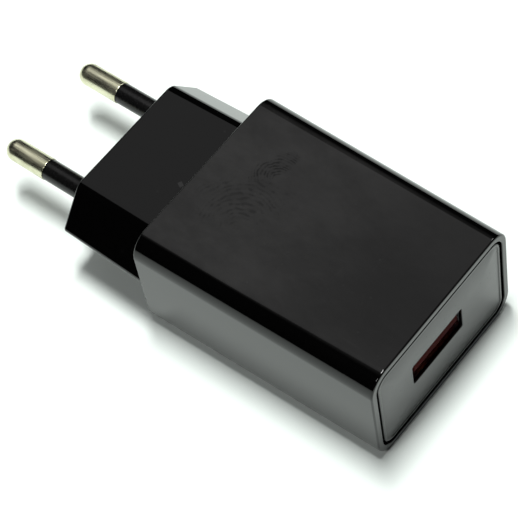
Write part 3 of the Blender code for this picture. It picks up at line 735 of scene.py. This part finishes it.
def make_pins(metal, sleeve_material):
    """Turned pins with domed ends, and sleeves with a rounded collar."""
    end = PIN_LENGTH + NECK_END_WALL + PIN_TAIL
    dome = []
    for step in range(DOME_STEPS + 1):
        angle = math.pi / 2 * step / DOME_STEPS
        dome.append((PIN_RADIUS * (1 - math.cos(angle)), max(PIN_RADIUS * math.sin(angle), 0.02 * MM)))
    pin = dome + [
        (PIN_METAL_LENGTH - 0.07 * MM, PIN_RADIUS),
        (PIN_METAL_LENGTH - 0.02 * MM, PIN_RADIUS - 0.02 * MM),
        (PIN_METAL_LENGTH, PIN_RADIUS - 0.07 * MM),
        (PIN_METAL_LENGTH, PIN_CORE_RADIUS),
        (end - 0.3 * MM, PIN_CORE_RADIUS),
        (end, PIN_CORE_RADIUS - 0.3 * MM),
    ]
    bore = PIN_CORE_RADIUS + 0.15 * MM
    first = PIN_METAL_LENGTH + 0.05 * MM
    last = PIN_LENGTH + SEAT_DEPTH - 0.12 * MM
    collar = last - COLLAR_LENGTH
    sleeve = [
        (first, bore),
        (first, SLEEVE_RADIUS - 0.1 * MM),
        (first + 0.03 * MM, SLEEVE_RADIUS - 0.03 * MM),
        (first + 0.1 * MM, SLEEVE_RADIUS),
        (collar - 0.55 * MM, SLEEVE_RADIUS),
        (collar - 0.35 * MM, SLEEVE_RADIUS + 0.05 * MM),
        (collar - 0.15 * MM, SLEEVE_RADIUS + 0.2 * MM),
        (collar - 0.04 * MM, COLLAR_RADIUS - 0.08 * MM),
        (collar + 0.06 * MM, COLLAR_RADIUS),
        (last, COLLAR_RADIUS),
        (last, bore),
        (first, bore),
    ]
    for side, sign in (("live", -1), ("neutral", 1)):
        place = (PIN_TIP_X, sign * PIN_Y, MIDDLE_Z)
        rod = as_object(f"contact_pin_{side}", turned_mesh(pin, place))
        smooth(rod, 40.0)
        take(rod, metal, f"pin_{side}", slot="pin_metal")
        cover = as_object(f"contact_sleeve_{side}", turned_mesh(sleeve, place))
        smooth(cover, 40.0)
        take(cover, sleeve_material, f"pin_sleeve_{side}", slot="pin_sleeve")


def dress(node, material):
    """Give a carried-over CAD node its material."""
    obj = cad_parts[node]
    obj.data.materials.clear()
    obj.data.materials.append(material)


def make_inside():
    """Materials of the nodes that keep their CAD meshes."""
    steel = plated("tinned_steel", (0.56, 0.56, 0.57), (0.42, 0.42, 0.43), 0.24)
    gold = plated("contact_gold", (0.83, 0.6, 0.27), (0.7, 0.48, 0.2), 0.2)
    # Painted shade: the tongue's near-black red stands in for the shade inside the port; the moulding itself
    # is a brighter orange.
    tongue = moulded("tongue_red_painted_shade", (0.05, 0.0022, 0.001), (0.036, 0.0016, 0.0008), 0.6, level=0.02)
    carrier = moulded("carrier_grey", (0.06, 0.06, 0.065), (0.045, 0.045, 0.05), 0.45)
    ferrite = moulded(
        "ferrite_grey", (0.045, 0.045, 0.05), (0.028, 0.028, 0.032), 0.55, 3200.0, 500.0, 0.00002)
    bobbin = moulded("bobbin_black", (0.02, 0.02, 0.02), (0.014, 0.014, 0.015), 0.45)
    chip = moulded("chip_epoxy", (0.022, 0.022, 0.023), (0.014, 0.014, 0.015), 0.5, 4200.0, 300.0, 0.00001)
    can = moulded("capacitor_sleeve", (0.016, 0.035, 0.12), (0.01, 0.024, 0.09), 0.28, 900.0)
    disc = moulded("disc_blue", (0.03, 0.13, 0.42), (0.02, 0.1, 0.34), 0.4, 1500.0, 260.0, 0.00001)
    resistor = moulded("resistor_green", (0.16, 0.36, 0.3), (0.12, 0.29, 0.24), 0.5, 1900.0, 300.0, 0.00001)
    film = moulded("insulation_film", (0.8, 0.74, 0.58), (0.7, 0.64, 0.48), 0.3, 800.0, 90.0)
    red = moulded("lead_red", (0.42, 0.02, 0.015), (0.34, 0.014, 0.01), 0.38)
    blue = moulded("lead_blue", (0.02, 0.06, 0.36), (0.014, 0.045, 0.28), 0.38)
    finishes = {
        "usb_shell": steel,
        "usb_tongue": tongue,
        "pin_carrier": carrier,
        "circuit_board": board_material(),
        "transformer_core": ferrite,
        "input_choke": ferrite,
        "transformer_bobbin": bobbin,
        "transformer_winding": winding_material(),
        "controller_chip": chip,
        "bridge_rectifier": chip,
        "output_rectifier": chip,
        "optocoupler": chip,
        "primary_capacitor_1": can,
        "primary_capacitor_2": can,
        "output_capacitor": can,
        "safety_capacitor": disc,
        "fusible_resistor": resistor,
        "insulation_sheet": film,
        "lead_live": red,
        "lead_neutral": blue,
    }
    for index in range(1, 5):
        finishes[f"usb_contact_{index}"] = gold
        finishes[f"usb_contact_tail_{index}"] = gold
    for node, finish in finishes.items():
        dress(node, finish)


make_camera()
make_floor()
make_lights()
make_case(gloss_black())
make_panel(satin_black())
make_pins(
    nickel(),
    moulded("sleeve_black", (0.003, 0.003, 0.003), (0.002, 0.002, 0.002), 0.2, relief=0.000002, level=0.35),
)
make_inside()
